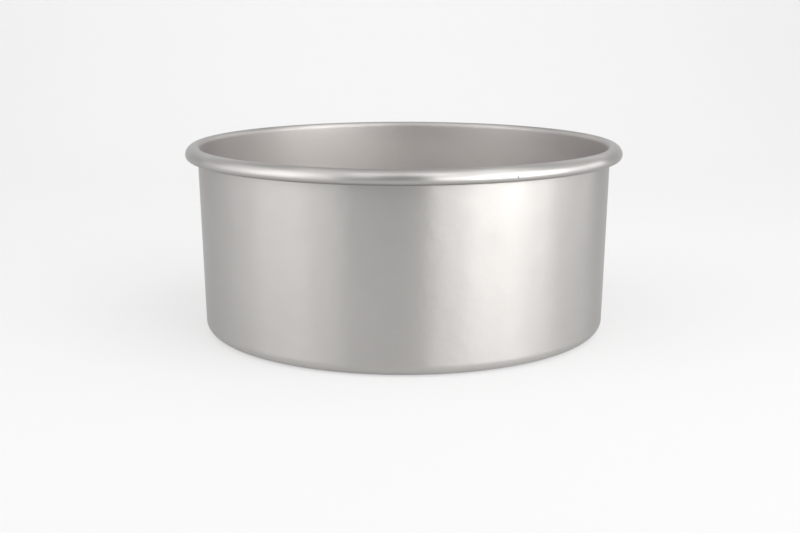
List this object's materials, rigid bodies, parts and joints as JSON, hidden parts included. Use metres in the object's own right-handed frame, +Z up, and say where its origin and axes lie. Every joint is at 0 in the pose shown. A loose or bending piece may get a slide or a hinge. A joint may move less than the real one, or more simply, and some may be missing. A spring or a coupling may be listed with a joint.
{
  "type": "cake pan",
  "caption": "Round deep cake pan with a straight, slightly drafted wall, a thick rolled rim and a loose base that lifts out to free the cake.",
  "frame": {"origin": "centre of the pan on the surface that it stands on", "axes": "+Z up along the pan's axis of revolution, X and Y across the mouth"},
  "size_m": [0.2446, 0.2446, 0.1044],
  "materials": {
    "anodised_aluminium": "satin clear-anodised, with fine lines from spinning"
  },
  "bodies": {
    "shell": {"pan_body": "anodised_aluminium"},
    "base": {"loose_base": "anodised_aluminium"}
  },
  "joints": [
    {"name": "base_lift", "type": "slide", "parent": "shell", "child": "base", "axis": [0, 0, 1], "range_m": [0, 0.115]}
  ]
}
